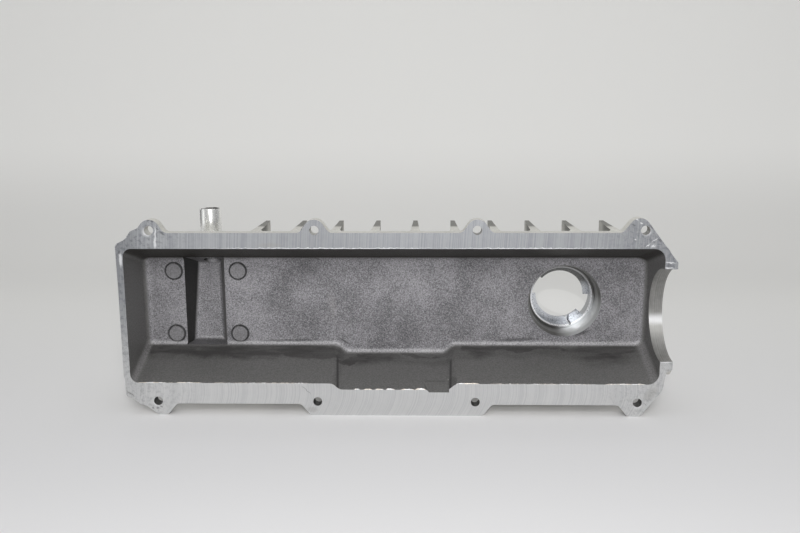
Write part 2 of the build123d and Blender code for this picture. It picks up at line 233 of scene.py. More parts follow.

# Light and dark places of the roof: a pale upright patch and two pale scratches, small dark cuts,
# a crease at the pocket painted dark as shade, and darker stretches along the lower edge
ROOF_PALE = (0.40, 0.39, 0.385, 1)
ROOF_CUT_AND_CREASE_SHADE = (0.04, 0.039, 0.04, 1)
ROOF_PALE_SPOTS = (
    (-53, -2, 17, 4.5, 95), (-53.5, 4, 6, 5, 0), (-25.7, -32.6, 6.6, 0.6, 90), (-119, 12, 8, 0.8, 84),
)
ROOF_DARK_SPOTS = (
    (-64.6, 37.3, 3.8, 0.6, -28), (-1.8, 16.5, 2.2, 0.5, 66), (-119.3, 3.9, 2.6, 0.5, 70),
    (-43.5, -31.4, 7.5, 1.0, -31), (-90, -31.0, 34, 1.5, 1), (95, -30, 22, 2.5, 3), (150, -24, 9, 2.5, 20),
)
roof = cast.tint(roof, cast.spots(ragged, ROOF_PALE_SPOTS, ROOF_DEPTH, 0.1), 0.32, ROOF_PALE)
roof = cast.tint(roof, cast.spots(ragged, ROOF_DARK_SPOTS, ROOF_DEPTH, 0.3), 0.55, ROOF_CUT_AND_CREASE_SHADE)

# The four round pads are smoother than the roof round them, inside grooves painted dark as shade
PAD_X, PAD_Z, PAD_STEP, PAD_R, GROOVE_R = -0.1558, 0.0011, 0.02615, 0.0063, 0.0074
PAD_GREY = (0.27, 0.265, 0.27, 1)
GROOVE_SHADE = (0.05, 0.049, 0.05, 1)
pad_across = cast.minus(cast.gap(cast.x, PAD_X), PAD_STEP)
pad_up = cast.minus(cast.gap(cast.z, PAD_Z), PAD_STEP)
from_pad = cast.radius(pad_across, pad_up)
pad_top = cast.times(cast.below(from_pad, PAD_R), cast.below(cast.y, ROOF_DEPTH + 0.001))
groove_shade = cast.times(
    cast.ramp(from_pad, PAD_R - 0.0004, PAD_R), cast.ramp(from_pad, GROOVE_R + 0.0006, GROOVE_R - 0.0002)
)
roof = cast.tint(roof, pad_top, 0.5, PAD_GREY)
roof = cast.tint(roof, groove_shade, 0.90, GROOVE_SHADE)

# The drafted walls are smoother than the roof. Dark streaks cross the lower one near the roof, and
# their spots are given by the place along the cover and the depth instead of the height.
WALL_DARK = (0.212, 0.209, 0.204, 1)
WALL_LIGHT = (0.292, 0.288, 0.281, 1)
UPPER_WALL_SHADE = (0.070, 0.066, 0.060, 1)
SMEAR_DARK = (0.090, 0.086, 0.084, 1)
STREAK_START_Y, STREAK_FULL_Y = 0.0255, 0.0345
STREAK_WEAK_X, STREAK_STRONG_X = -0.040, -0.056
SMEAR_SPOTS = (
    (-76, 37.5, 31, 11.5, 1), (-60, 34.5, 17, 6.5, 0), (-136, 41.5, 38, 12.0, -7), (-176, 43.0, 14, 8.0, 0),
    (172, 43.5, 28, 8.5, 0), (95, 42.5, 50, 5.0, 0), (56, 41.0, 15, 3.6, -28), (-34, 35.5, 15, 4.2, 30),
    (12, 42.5, 28, 2.6, -5),
)
CLOUD_SPOTS = ((158, 36, 44, 20, -6), (62, 40, 26, 14, -20), (-20, 38, 30, 13, 12), (-188, 38, 30, 18, 0))
wall = cast.mix(cast.ramp(cast.noise(900, detail=2.0), 0.28, 0.72), WALL_DARK, WALL_LIGHT)
low_wall = cast.ramp(face_z, 0.35, 0.7)
side_wall = cast.ramp(cast.size(face_x), 0.6, 0.9)
flow = cast.noise(55, detail=4.0, rough=0.65, vector=cast.vector("MULTIPLY", cast.place, (0.4, 2.4, 2.4)))
smeared = cast.split(cast.vector("ADD", ragged, cast.sway(34, 3.0, 0.6, (0.050, 0.022, 0.0))))
along_wall = cast.tree.nodes.new("ShaderNodeCombineXYZ")
cast.put(along_wall.inputs["X"], smeared[0])
cast.put(along_wall.inputs["Z"], smeared[1])
smears = cast.times(
    cast.spots(along_wall.outputs[0], SMEAR_SPOTS, 0.0, 0.72), cast.ramp(flow, 0.30, 0.60, 0.55, 1.0), 0.80
)
cloudy = cast.times(
    cast.spots(along_wall.outputs[0], CLOUD_SPOTS, 0.0, 0.0), cast.ramp(flow, 0.30, 0.62, 0.45, 1.0)
)
near_roof = cast.times(
    cast.ramp(smeared[1], STREAK_START_Y, STREAK_FULL_Y), cast.ramp(flow, 0.34, 0.56, 0.25, 1.0),
    cast.ramp(cast.x, STREAK_WEAK_X, STREAK_STRONG_X, 0.34, 0.80),
)
wall = cast.tint(wall, cast.most(smears, near_roof, cloudy), low_wall, SMEAR_DARK)
# Walls that face down are painted dark as shade
wall = cast.mix(cast.ramp(face_z, -0.35, -0.7), wall, UPPER_WALL_SHADE)

# The duct's left wall is painted dark as shade, and its two ends are speckled like the roof
DUCT_X, DUCT_HALF_W, DUCT_HALF_H = -0.1569, 0.0170, 0.0465
DUCT_WALL_SHADE = (0.028, 0.027, 0.027, 1)
out_of_duct = cast.plus(
    cast.times(cast.minus(cast.x, DUCT_X), face_x), cast.times(cast.z, face_z), cast.times(face_y, 0.01)
)
in_duct = cast.times(
    cast.below(cast.gap(cast.x, DUCT_X), DUCT_HALF_W), cast.above(cast.y, ROOF_DEPTH - 0.001),
    cast.below(cast.size(cast.z), DUCT_HALF_H), cast.below(out_of_duct, 0.0),
)
duct_ends = cast.times(in_duct, cast.minus(1.0, side_wall))
wall = cast.tint(wall, cast.times(side_wall, in_duct, cast.above(face_x, 0.0)), 0.8, DUCT_WALL_SHADE)

# A pale streak runs down the low corners, dark lines of painted shade run down both sides of the pocket,
# and the notch in the pocket's lip is darker
CORNER_START_X = 0.15
CORNER_PALE = (0.46, 0.45, 0.45, 1)
LEFT_CREASE_X, LEFT_CREASE_LEAN = -0.0455, 0.087
RIGHT_CREASE_X, RIGHT_CREASE_LEAN = 0.0419, 0.040
CREASE_HALF_W, CREASE_CORE_HALF_W = 0.0013, 0.0003
CREASE_FADE_Y, CREASE_FULL_Y, CREASE_TOP_Z = 0.034, 0.029, -0.030
CREASE_SHADE = (0.045, 0.044, 0.043, 1)
NOTCH_X, NOTCH_HALF_W, NOTCH_TOP_Z = 0.0345, 0.0125, -0.0500
NOTCH_FADE_Y, NOTCH_FULL_Y = 0.0125, 0.0095
NOTCH_DARK = (0.06, 0.058, 0.056, 1)
corner = cast.times(
    cast.ramp(cast.size(face_x), 0.2, 0.55), cast.ramp(face_z, 0.2, 0.55),
    cast.above(cast.size(cast.x), CORNER_START_X), cast.ramp(grain, 0.40, 0.60, 0.3, 1.0),
)
wall = cast.tint(wall, corner, 0.7, CORNER_PALE)
from_left_crease = cast.plus(cast.minus(cast.x, LEFT_CREASE_X), cast.times(cast.y, LEFT_CREASE_LEAN))
from_right_crease = cast.minus(cast.minus(cast.x, RIGHT_CREASE_X), cast.times(cast.y, RIGHT_CREASE_LEAN))
from_crease = cast.math("MINIMUM", cast.size(from_left_crease), cast.size(from_right_crease))
crease_shade = cast.times(
    cast.ramp(from_crease, CREASE_HALF_W, CREASE_CORE_HALF_W),
    cast.ramp(cast.y, CREASE_FADE_Y, CREASE_FULL_Y), cast.below(cast.z, CREASE_TOP_Z),
)
in_notch = cast.times(
    cast.below(cast.gap(cast.x, NOTCH_X), NOTCH_HALF_W), cast.below(cast.z, NOTCH_TOP_Z),
    cast.ramp(cast.y, NOTCH_FADE_Y, NOTCH_FULL_Y),
)
wall = cast.tint(wall, in_notch, 0.24, NOTCH_DARK)
wall = cast.tint(wall, crease_shade, 0.62, CREASE_SHADE)

# The fillet between the lower wall and the roof catches the light
FILLET_PALE = (0.60, 0.59, 0.595, 1)
FILLET_START_Y = 0.036
fillet = cast.times(
    cast.ramp(face_z, 0.10, 0.36), cast.ramp(face_y, -0.62, -0.80), cast.above(cast.y, FILLET_START_Y),
    cast.below(face_y, 0.0), cast.ramp(grain, 0.36, 0.56, 0.45, 1.0),
)
roof = cast.tint(roof, fillet, 0.40, FILLET_PALE)
roofness = cast.most(cast.ramp(cast.times(face_y, -1.0), 0.60, 0.90), cast.times(duct_ends, 0.6))
skin = cast.mix(roofness, wall, roof)

# Outside, the skin is a lighter warm grey, partly its own tone and partly a painted reflection of the pale
# sheet, and the fin edges and flanks are painted darker towards their tips as shade
OUTER_LIGHT = (0.82, 0.81, 0.765, 1)
OUTER_DARK = (0.62, 0.61, 0.575, 1)
FIN_EDGE_SHADE = (0.17, 0.168, 0.155, 1)
FLANK_SHADE = (0.13, 0.128, 0.118, 1)
FLANGE_BACK_DEPTH = 0.0102
FIN_TIP_START_Z, FIN_TIP_FULL_Z = 0.044, 0.066
FIN_EDGE_START_Y, FIN_EDGE_FULL_Y = 0.025, 0.036
FLANK_START_Y, FLANK_END_Y = 0.036, 0.053
outward = cast.plus(
    cast.times(cast.x, face_x), cast.times(cast.z, face_z),
    cast.times(cast.minus(cast.y, MIDDLE_DEPTH), face_y),
)
over_top_wall = cast.above(
    cast.plus(cast.z, cast.times(cast.y, UPPER_WALL_LEAN)), MOUTH_TOP_Z + UPPER_WALL_MIDDLE
)
outside = cast.times(
    cast.most(
        cast.above(outward, 0.0), over_top_wall, cast.above(cast.y, ROOF_BACK_DEPTH), cast.above(face_y, 0.3)
    ),
    cast.minus(1.0, in_duct),
)
outer_speckle = cast.plus(cast.times(grain, 0.6), cast.times(clouds, 0.5))
outer = cast.mix(cast.ramp(outer_speckle, 0.35, 0.75), OUTER_DARK, OUTER_LIGHT)
fin_tip = cast.times(
    cast.ramp(cast.z, FIN_TIP_START_Z, FIN_TIP_FULL_Z), cast.above(cast.y, FLANGE_BACK_DEPTH)
)
fin_edge_shade = cast.times(
    fin_tip, cast.below(cast.size(face_x), 0.5), cast.ramp(cast.y, FIN_EDGE_START_Y, FIN_EDGE_FULL_Y)
)
flank_shade = cast.times(fin_tip, side_wall, cast.ramp(cast.y, FLANK_START_Y, FLANK_END_Y, 1.0, 0.35))
outer = cast.tint(outer, fin_edge_shade, 0.85, FIN_EDGE_SHADE)
outer = cast.tint(outer, flank_shade, 0.85, FLANK_SHADE)
skin = cast.mix(outside, skin, outer)

# Tool marks on the gasket face: fine streaks, upright above and bowed below, and broad faint bands
MILLED_UPPER = (0.505, 0.515, 0.53, 1)
MILLED_LOWER = (0.70, 0.70, 0.695, 1)
MILLED_DARK = (0.31, 0.32, 0.345, 1)
MILLED_DULL = (0.20, 0.205, 0.215, 1)
STAIN_DARK = (0.16, 0.165, 0.18, 1)
BOW_TOP_Z, BOW_R = -0.058, 0.06
UPPER_FACE_START_Z, UPPER_FACE_FULL_Z = -0.052, 0.050
END_FACE_START_X, END_FACE_FULL_X = 0.135, 0.205
below_holes = cast.minus(cast.z, BOW_TOP_Z)
bow = cast.math("DIVIDE", cast.times(below_holes, below_holes), BOW_R)
run = cast.plus(cast.x, cast.blend(cast.above(cast.z, 0.0), bow, cast.times(cast.z, -0.06)))
fine = cast.stripes(run, 900)
marks = cast.plus(
    cast.times(fine, 0.52), cast.times(cast.stripes(run, 130, detail=2.0), 0.30),
    cast.times(cast.noise(170, detail=4.0, rough=0.65), 0.18),
)
upper_face = cast.ramp(cast.z, UPPER_FACE_START_Z, UPPER_FACE_FULL_Z)
end_face = cast.ramp(cast.size(cast.x), END_FACE_START_X, END_FACE_FULL_X)
streak_share = cast.times(cast.ramp(marks, 0.60, 0.36), cast.blend(upper_face, 0.24, 0.80))
# The lower land is painted lighter than the upper: a painted reflection of the lit floor in front of the
# cover
milled = cast.mix(streak_share, cast.mix(upper_face, MILLED_LOWER, MILLED_UPPER), MILLED_DARK)
duller = cast.most(
    cast.times(
        cast.ramp(cast.size(cast.x), 0.05, 0.15, 0.57, 0.40), cast.ramp(cast.x, -0.17, -0.04, 0.36, 1.0)
    ),
    cast.ramp(cast.x, -0.185, -0.205, 0.0, 0.52),
)
milled = cast.tint(milled, duller, cast.ramp(cast.z, -0.07, 0.03, 0.25, 1.0), MILLED_DULL)
stain = cast.times(cast.ramp(cast.noise(330, detail=4.0, rough=0.7), 0.48, 0.62), end_face)
milled = cast.tint(milled, stain, cast.blend(upper_face, 0.30, 0.62), STAIN_DARK)

# Bright and dark marks of handling round the corner holes and at the ends of the arch.
# The bright ring round the lower left hole is a painted glint.
FACE_BRIGHT = (0.93, 0.93, 0.94, 1)
FACE_DARK = (0.09, 0.09, 0.10, 1)
FACE_DULL = (0.34, 0.33, 0.31, 1)
FACE_BRIGHT_SPOTS = (
    (-181.7, 58.0, 6.5, 1.5, 87), (-181.0, 64.5, 8.0, 0.8, 87), (-187.6, 65.8, 4.4, 4.4, 0),
    (-203.6, 62.2, 4.6, 0.5, 50), (-184.4, 76.0, 1.4, 0.6, -20), (-211.6, 56.1, 1.9, 0.4, 57),
    (186.8, 66.4, 4.4, 4.4, 0), (179.0, 75.4, 1.9, 0.8, -36), (182.4, 72.7, 1.6, 0.7, -34),
    (193.0, 60.0, 3.9, 0.5, 38), (188.1, 55.8, 3.1, 0.6, 42), (178.6, 60.4, 0.9, 0.8, 0),
    (192.2, 55.3, 2.2, 1.3, 20), (-186.7, -68.2, 4.5, 4.5, 0), (186.4, -68.4, 4.5, 4.3, 0),
    (205.5, 42.7, 5.4, 0.8, -6), (204.6, 38.8, 6.0, 0.6, 0), (206.2, -34.6, 6.0, 0.6, 0),
    (-208.6, 45, 1.7, 7.5, 0), (100, 53.6, 90, 0.4, 0), (-60, 53.6, 130, 0.4, 0),
)
FACE_DARK_SPOTS = (
    (-179.1, 68.4, 1.4, 0.8, -45), (-186.0, 75.0, 1.9, 1.0, 40), (-183.0, 74.0, 1.7, 1.0, -35),
    (177.0, 71.3, 2.0, 1.0, -25), (190.4, 69.6, 2.6, 1.0, -60), (196.8, 59.6, 2.6, 1.3, -55),
    (192.9, 55.8, 0.7, 0.6, 0), (-190.4, -73.1, 1.2, 0.9, 0), (-186.8, -72.9, 1.4, 1.1, 0),
    (-184.0, -71.6, 1.8, 0.9, -30), (-69.8, -58.0, 6.9, 0.35, -44), (192.4, -68.7, 1.8, 0.4, -40),
    (-209.5, 50.5, 1.6, 2.2, 0), (-176.0, 65.0, 1.2, 3.4, 60), (-207.5, -61.5, 5.0, 0.6, -37),
    (200.4, 45.5, 1.0, 2.2, 30),
)
FACE_DULL_SPOTS = (
    (208.2, -41.0, 2.2, 1.5, 15), (-65.5, -73.9, 5.2, 3.0, 0), (-207.5, -61.5, 5.4, 1.6, -37),
    (-95, 56, 12, 2.4, 0), (196, -60, 9, 5, 40),
)
milled = cast.tint(milled, cast.spots(ragged, FACE_DULL_SPOTS, 0.0, 0.4), 0.35, FACE_DULL)
milled = cast.tint(milled, cast.spots(ragged, FACE_BRIGHT_SPOTS, 0.0, 0.35), 0.72, FACE_BRIGHT)
milled = cast.tint(milled, cast.spots(ragged, FACE_DARK_SPOTS, 0.0, 0.3), 0.60, FACE_DARK)
on_face = cast.below(cast.y, FACE_DEPTH)
under_face = cast.minus(1.0, on_face)
skin = cast.mix(on_face, skin, milled)

# The end arch is bored, with lines along its round, a broad painted sheen and one narrow painted gleam
ARCH_Z, ARCH_R, ARCH_START_X = 0.0018, 0.0362, 0.1985
GLEAM_TURN, SHEEN_TURN = 0.31, 0.50
ARCH_DARK = (0.215, 0.212, 0.204, 1)
ARCH_LIGHT = (0.35, 0.345, 0.332, 1)
SHEEN_GREY = (0.70, 0.69, 0.66, 1)
GLEAM_WHITE = (0.80, 0.80, 0.81, 1)
arch_up = cast.minus(cast.z, ARCH_Z)
in_arch = cast.times(
    cast.below(cast.radius(cast.y, arch_up), ARCH_R), cast.above(cast.x, ARCH_START_X), under_face
)
around_arch = cast.math("ARCTAN2", arch_up, cast.y)
arch_lines = cast.plus(
    cast.times(cast.stripes(cast.x, 1500), 0.75), cast.times(cast.noise(240, detail=3.0), 0.25)
)
arch = cast.mix(cast.ramp(arch_lines, 0.35, 0.65), ARCH_DARK, ARCH_LIGHT)
sheen = cast.ramp(cast.size(cast.plus(around_arch, SHEEN_TURN)), 0.55, 0.05)
gleam = cast.ramp(cast.size(cast.plus(around_arch, GLEAM_TURN)), 0.17, 0.01)
arch = cast.tint(arch, sheen, 0.32, SHEEN_GREY)
arch = cast.tint(arch, gleam, 0.80, GLEAM_WHITE)
skin = cast.mix(in_arch, skin, arch)

# The filler bore is painted bright at its lower right as a highlight, and painted dark elsewhere as shade
FILLER_X, FILLER_Z, FILLER_R = 0.1354, 0.0026, 0.0295
BRIGHT_SIDE_TURN = 0.80
FILLER_SHADE = (0.10, 0.098, 0.094, 1)
FILLER_HIGHLIGHT = (0.57, 0.58, 0.59, 1)
filler_across = cast.minus(cast.x, FILLER_X)
filler_up = cast.minus(cast.z, FILLER_Z)
in_filler = cast.times(
    cast.below(cast.radius(filler_across, filler_up), FILLER_R), cast.above(cast.y, ROOF_DEPTH - 0.0004)
)
around_filler = cast.math("ARCTAN2", filler_up, filler_across)
low_right_highlight = cast.ramp(cast.size(cast.plus(around_filler, BRIGHT_SIDE_TURN)), 1.05, 0.35)
skin = cast.mix(in_filler, skin, cast.mix(low_right_highlight, FILLER_SHADE, FILLER_HIGHLIGHT))

# The eight bolt holes are drilled and painted dark inside as shade; the upper ones are painted lighter as lit
# walls, most at the left end
HOLE_R, OUTER_BOLT_X, INNER_BOLT_X, BOLT_Z = 0.0037, 0.186, 0.0612, 0.0672
HOLE_SHADE = (0.04, 0.04, 0.04, 1)
HOLE_LIT_WALL = (0.66, 0.655, 0.63, 1)
from_middle = cast.size(cast.x)
from_bolt_x = cast.math("MINIMUM", cast.gap(from_middle, OUTER_BOLT_X), cast.gap(from_middle, INNER_BOLT_X))
from_bolt = cast.radius(from_bolt_x, cast.minus(cast.size(cast.z), BOLT_Z))
in_hole = cast.times(cast.below(from_bolt, HOLE_R), under_face)
hole_lit_share = cast.times(upper_face, cast.ramp(cast.x, 0.02, -0.10, 0.45, 1.0))
skin = cast.mix(in_hole, skin, cast.mix(hole_lit_share, HOLE_SHADE, HOLE_LIT_WALL))

# Cast skin is duller than the cut faces, and both are slightly uneven
machined = cast.most(on_face, in_arch, in_filler, in_hole)
roughness = cast.blend(machined, cast.blend(roofness, 0.55, 0.66), cast.ramp(marks, 0.3, 0.7, 0.52, 0.38))
lumps = cast.bump(cast.times(cast.minus(1.0, machined), grain), 0.0005, 0.55)
cast.put(cast.shader.inputs["Base Color"], skin)
cast.put(cast.shader.inputs["Roughness"], cast.blend(in_filler, roughness, 0.36))
cast.put(cast.shader.inputs["Normal"], cast.bump(cast.times(on_face, fine), 0.00006, 0.35, onto=lumps))
cast.shader.inputs["Metallic"].default_value = 0.75

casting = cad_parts["cover_casting"]
casting.data.materials.clear()
casting.data.materials.append(cast.material)

# Burr: thin bright lips of aluminium that the cutter left along the lower inner edge of the gasket face.
# Each is a ribbon bent up into the mouth, uneven along its top.
BURR_DEPTH, BURR_FOOT_DEPTH = 0.0004, 0.00002
BURR_ROOT = 0.0005
BURR_STEP = 0.0012
BURR_TAPER = 6
BURR_WARM = (0.86, 0.79, 0.70, 1)
BURR_WHITE = (0.93, 0.93, 0.93, 1)
BURR_RUNS = (
    # start x, start z, end x, end z in mm, and the least and greatest height in mm
    (-202.0, -52.6, -178.0, -52.6, 0.35, 0.75), (-178.0, -52.6, -173.5, -52.6, 0.15, 0.35),
    (-173.5, -52.6, -150.0, -52.6, 0.30, 0.70), (-150.0, -52.6, -60.0, -52.6, 0.10, 0.40),
    (-33.0, -57.5, -28.0, -57.5, 0.5, 0.9), (-25.5, -57.5, -18.5, -57.5, 0.4, 0.9),
    (-16.5, -57.5, -9.5, -57.5, 0.4, 0.8), (-8.0, -57.5, -1.0, -57.5, 0.7, 1.2),
    (3.0, -57.5, 14.5, -57.5, 0.4, 0.8), (14.5, -57.5, 23.0, -57.5, 1.0, 1.7),
    (46.5, -52.6, 65.0, -52.6, 0.5, 1.0), (65.0, -52.6, 160.0, -52.6, 0.10, 0.35),
    (160.0, -52.6, 193.0, -52.6, 0.35, 0.7),
)
burr_luck = random.Random(7)
burr_points = []
burr_faces = []
for start_x, start_z, end_x, end_z, least, greatest in BURR_RUNS:
    steps = max(2, round((end_x - start_x) / 1000 / BURR_STEP))
    first = len(burr_points)
    for step in range(steps + 1):
        share = step / steps
        x = (start_x + (end_x - start_x) * share) / 1000
        z = (start_z + (end_z - start_z) * share) / 1000
        taper = min(1.0, BURR_TAPER * share, BURR_TAPER * (1 - share))
        rise = burr_luck.uniform(least, greatest) / 1000 * taper
        lean = BURR_DEPTH * burr_luck.uniform(0.2, 0.8)
        burr_points += [(x, BURR_FOOT_DEPTH, z - BURR_ROOT), (x, lean, z + rise), (x, BURR_DEPTH, z)]
    for step in range(steps):
        near = first + 3 * step
        burr_faces += [(near, near + 3, near + 4, near + 1), (near + 1, near + 4, near + 5, near + 2)]
burr_mesh = bpy.data.meshes.new("edge_burr")
burr_mesh.from_pydata(burr_points, [], burr_faces)
burr = bpy.data.objects.new("edge_burr", burr_mesh)
scene.collection.objects.link(burr)
burr_metal = Finish("burr_aluminium")
burr_metal.put(
    burr_metal.shader.inputs["Base Color"],
    burr_metal.mix(burr_metal.ramp(burr_metal.noise(160), 0.42, 0.58), BURR_WARM, BURR_WHITE),
)
burr_metal.shader.inputs["Metallic"].default_value = 0.6
burr_metal.shader.inputs["Roughness"].default_value = 0.5
burr_mesh.materials.append(burr_metal.material)
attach(burr, "root")

# Breather tube: drawn steel with a bright finish, pressed into the end of the duct.
# Its free end is sawn off roughly, so the rim is uneven and nicked at the left.
TUBE_X, TUBE_Y = -0.153, 0.059
TUBE_FOOT_Z, TUBE_END_Z = 0.0370, 0.0776
TUBE_R, TUBE_BORE_R = 0.0085, 0.0073
RIM_CHAMFER_H, RIM_CHAMFER_W, BORE_EDGE_DROP = 0.00035, 0.000245, 0.0001
RIM_CUT, RIM_LEFT_CUT, RIM_RIGHT_CUT = 0.00035, 0.0005, 0.00035
RIM_LEFT_TURN, RIM_RIGHT_TURN = -0.5, 0.2
RIM_WAVES, RIM_WAVE_H = 9, 0.00006
NICK_TURN, NICK_HALF_TURN, NICK_DEPTH = 3.7, 0.12, 0.0007
TUBE_SIDES = 96
SECTION_POINTS, OUTER_FACE, BORE_FACE = 5, 0, 3
tube_luck = random.Random(11)
tube_waves = [(tube_luck.uniform(0, math.tau), tube_luck.uniform(0.3, 1.0)) for _ in range(RIM_WAVES)]


def rim_drop(turn):
    """How far the rim lies under the tube's full height, in metres."""
    left_cut = RIM_LEFT_CUT * max(0.0, -math.cos(turn - RIM_LEFT_TURN))
    right_cut = RIM_RIGHT_CUT * max(0.0, math.cos(turn - RIM_RIGHT_TURN))
    drop = RIM_CUT + left_cut + right_cut
    for wave, (phase, size) in enumerate(tube_waves, start=2):
        drop += RIM_WAVE_H * size * math.sin(wave * turn + phase)
    nick = math.exp(-(((turn - NICK_TURN) / NICK_HALF_TURN) ** 2))
    return max(0.0, drop + NICK_DEPTH * nick)


tube_points = []
tube_faces = []
for side_step in range(TUBE_SIDES):
    turn = math.tau * side_step / TUBE_SIDES
    top = TUBE_END_Z - rim_drop(turn)
    for radius, height in (
        (TUBE_R, TUBE_FOOT_Z), (TUBE_R, top - RIM_CHAMFER_H), (TUBE_R - RIM_CHAMFER_W, top),
        (TUBE_BORE_R, top - BORE_EDGE_DROP), (TUBE_BORE_R, TUBE_FOOT_Z),
    ):
        tube_points.append((TUBE_X + radius * math.cos(turn), TUBE_Y + radius * math.sin(turn), height))
for side_step in range(TUBE_SIDES):
    here = SECTION_POINTS * side_step
    there = SECTION_POINTS * ((side_step + 1) % TUBE_SIDES)
    for corner in range(SECTION_POINTS):
        following = (corner + 1) % SECTION_POINTS
        tube_faces.append((here + corner, there + corner, there + following, here + following))
tube_mesh = bpy.data.meshes.new("cut_tube")
tube_mesh.from_pydata(tube_points, [], tube_faces)
for index, polygon in enumerate(tube_mesh.polygons):
    polygon.use_smooth = index % SECTION_POINTS in (OUTER_FACE, BORE_FACE)
cut_tube = bpy.data.objects.new("cut_tube", tube_mesh)
scene.collection.objects.link(cut_tube)
TUBE_CREAM = (0.93, 0.93, 0.90, 1)
TUBE_WHITE = (1.0, 1.0, 0.99, 1)
BORE_DARK = (0.16, 0.155, 0.148, 1)
tube_metal = Finish("tube_steel")
long_place = tube_metal.vector("MULTIPLY", tube_metal.place, (1.0, 1.0, 0.06))
short_place = tube_metal.vector("MULTIPLY", tube_metal.place, (1.0, 1.0, 0.4))
draw_lines = tube_metal.noise(420, detail=3.0, vector=long_place)
scratches = tube_metal.noise(900, detail=3.0, vector=short_place)
tube_across = tube_metal.minus(tube_metal.x, TUBE_X)
tube_deep = tube_metal.minus(tube_metal.y, TUBE_Y)
from_axis = tube_metal.radius(tube_across, tube_deep)
in_bore = tube_metal.below(from_axis, TUBE_BORE_R + 0.0002)
drawn = tube_metal.mix(tube_metal.ramp(draw_lines, 0.35, 0.65), TUBE_CREAM, TUBE_WHITE)
tube_metal.put(tube_metal.shader.inputs["Base Color"], tube_metal.mix(in_bore, drawn, BORE_DARK))
tube_metal.put(tube_metal.shader.inputs["Roughness"], tube_metal.ramp(scratches, 0.45, 0.70, 0.27, 0.31))
tube_metal.shader.inputs["Metallic"].default_value = 0.75
tube_mesh.materials.append(tube_metal.material)
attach(cut_tube, "root")
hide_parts("breather_tube")

# Bayonet ring: strip steel rolled round, its two lips pressed inwards for the cap.
# It is pressed into the far end of the filler neck.
RING_NEAR_DEPTH = 0.0640
RING_TOP_START_Z, RING_TOP_FULL_Z = 0.006, 0.016
SHADE_START, SHADE_FULL = 0.140, 0.160
EDGE_FADE_Z, EDGE_FULL_Z = 0.010, -0.006
SPLIT_X, SPLIT_HALF_W = 0.1436, 0.0005
RING_DARK = (0.50, 0.515, 0.54, 1)
RING_LIGHT = (0.66, 0.68, 0.71, 1)
RING_TOP_REFLECTION = (0.07, 0.068, 0.062, 1)
RING_SHADED = (0.20, 0.205, 0.215, 1)
RING_EDGE_HIGHLIGHT = (0.97, 0.97, 0.98, 1)
SPLIT_BLACK = (0.02, 0.02, 0.02, 1)
ring_metal = Finish("ring_steel")
rolled = ring_metal.noise(900, detail=3.0)
ring_colour = ring_metal.mix(ring_metal.ramp(rolled, 0.30, 0.70), RING_DARK, RING_LIGHT)
# The top of the ring is painted dark: a painted reflection of the dark hollow
top_reflection_share = ring_metal.ramp(ring_metal.z, RING_TOP_START_Z, RING_TOP_FULL_Z, 0.0, 0.88)
ring_colour = ring_metal.mix(top_reflection_share, ring_colour, RING_TOP_REFLECTION)
to_low_right = ring_metal.minus(ring_metal.x, ring_metal.z)
shaded = ring_metal.ramp(to_low_right, SHADE_START, SHADE_FULL, 0.0, 0.50)
ring_colour = ring_metal.mix(shaded, ring_colour, RING_SHADED)
# The near rim carries a painted highlight, strongest at the bottom
near_edge = ring_metal.below(ring_metal.y, RING_NEAR_DEPTH)
near_highlight_share = ring_metal.ramp(ring_metal.z, EDGE_FADE_Z, EDGE_FULL_Z, 0.20, 0.75)
ring_colour = ring_metal.tint(ring_colour, near_edge, near_highlight_share, RING_EDGE_HIGHLIGHT)
split = ring_metal.times(
    ring_metal.below(ring_metal.gap(ring_metal.x, SPLIT_X), SPLIT_HALF_W), ring_metal.below(ring_metal.z, 0.0)
)
dents = ring_metal.noise(110, detail=2.0)
ring_metal.put(ring_metal.shader.inputs["Base Color"], ring_metal.mix(split, ring_colour, SPLIT_BLACK))
ring_metal.put(ring_metal.shader.inputs["Roughness"], ring_metal.ramp(rolled, 0.3, 0.7, 0.26, 0.34))
ring_metal.put(ring_metal.shader.inputs["Normal"], ring_metal.bump(dents, 0.0004, 0.15))
ring_metal.shader.inputs["Metallic"].default_value = 1.0
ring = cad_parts["filler_ring"]
ring.data.materials.clear()
ring.data.materials.append(ring_metal.material)

# Studio: a pale sheet that runs along the table and bends up behind the cover.
# It glows faintly, more towards the back, and has a soft oval of painted light where the lamp shines through
# the neck.
FLOOR_Z = cad_box[0].z
SHEET_HALF_W = 2.2
SHEET_FRONT_Y = -1.6
BEND_START_Y = 0.55
BEND_R = 0.5
SHEET_TOP_Z = 2.0
BEND_STEPS = 24
POOL_X, POOL_Y = 0.191, 0.395
POOL_HALF_W, POOL_HALF_L = 0.030, 0.076
GLOW_START_Y, GLOW_FULL_Y, GLOW_START_Z, GLOW_FULL_Z = -0.15, 0.42, -0.04, 0.10
profile = [(SHEET_FRONT_Y, FLOOR_Z), (BEND_START_Y, FLOOR_Z)]
for step in range(1, BEND_STEPS + 1):
    angle = math.pi / 2 * step / BEND_STEPS
    profile.append((BEND_START_Y + BEND_R * math.sin(angle), FLOOR_Z + BEND_R * (1 - math.cos(angle))))
profile.append((BEND_START_Y + BEND_R, SHEET_TOP_Z))
sheet_mesh = bpy.data.meshes.new("backdrop")
sheet_mesh.from_pydata(
    [(x, y, z) for y, z in profile for x in (-SHEET_HALF_W, SHEET_HALF_W)],
    [],
    [(2 * i, 2 * i + 1, 2 * i + 3, 2 * i + 2) for i in range(len(profile) - 1)],
)
backdrop = bpy.data.objects.new("backdrop", sheet_mesh)
scene.collection.objects.link(backdrop)
for polygon in sheet_mesh.polygons:
    polygon.use_smooth = True
PAPER_NEAR = (0.72, 0.715, 0.72, 1)
PAPER_FAR = (0.66, 0.655, 0.635, 1)
